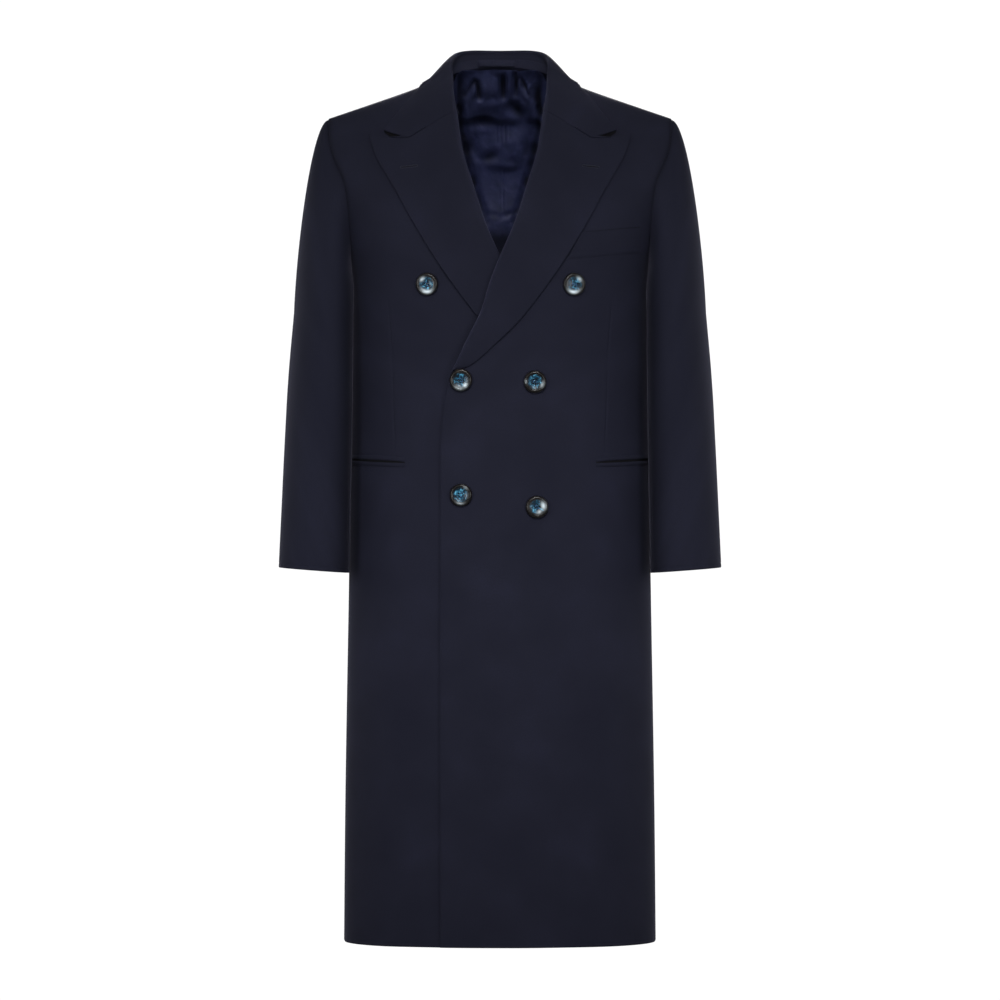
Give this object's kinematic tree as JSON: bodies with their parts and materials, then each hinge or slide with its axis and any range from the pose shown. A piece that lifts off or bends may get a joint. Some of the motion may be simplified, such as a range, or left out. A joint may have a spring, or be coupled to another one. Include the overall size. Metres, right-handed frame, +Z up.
{
  "type": "double-breasted overcoat",
  "caption": "Long hollow double-breasted overcoat with peaked lapels, flap-free hip pockets and a chest welt, filled out as it is worn.",
  "frame": {"origin": "midway between the two shoulder points, at their height, where the wearer's shoulders carry the coat", "axes": "+Z up along the coat, +X to the wearer's left, -Y out of the front"},
  "size_m": [0.5946, 0.2609, 1.2092],
  "materials": {
    "navy_wool": "smooth fine wool with a soft nap",
    "navy_satin": "shiny satin lining",
    "dark_horn": "polished dark horn"
  },
  "bodies": {
    "root": {"front_left": "navy_wool", "front_right": "navy_wool", "back_left": "navy_wool", "back_right": "navy_wool", "lapel_left": "navy_wool", "lapel_right": "navy_wool", "collar_leaf": "navy_wool", "collar_stand": "navy_wool", "top_sleeve_left": "navy_wool", "top_sleeve_right": "navy_wool", "under_sleeve_left": "navy_wool", "under_sleeve_right": "navy_wool", "chest_welt": "navy_wool", "upper_jet_left": "navy_wool", "lower_jet_left": "navy_wool", "upper_jet_right": "navy_wool", "lower_jet_right": "navy_wool", "hanger_loop": "navy_wool", "back_lining": "navy_satin", "button_top_right": "dark_horn", "button_top_left": "dark_horn", "button_middle_right": "dark_horn", "button_middle_left": "dark_horn", "button_bottom_right": "dark_horn", "button_bottom_left": "dark_horn"}
  },
  "joints": []
}
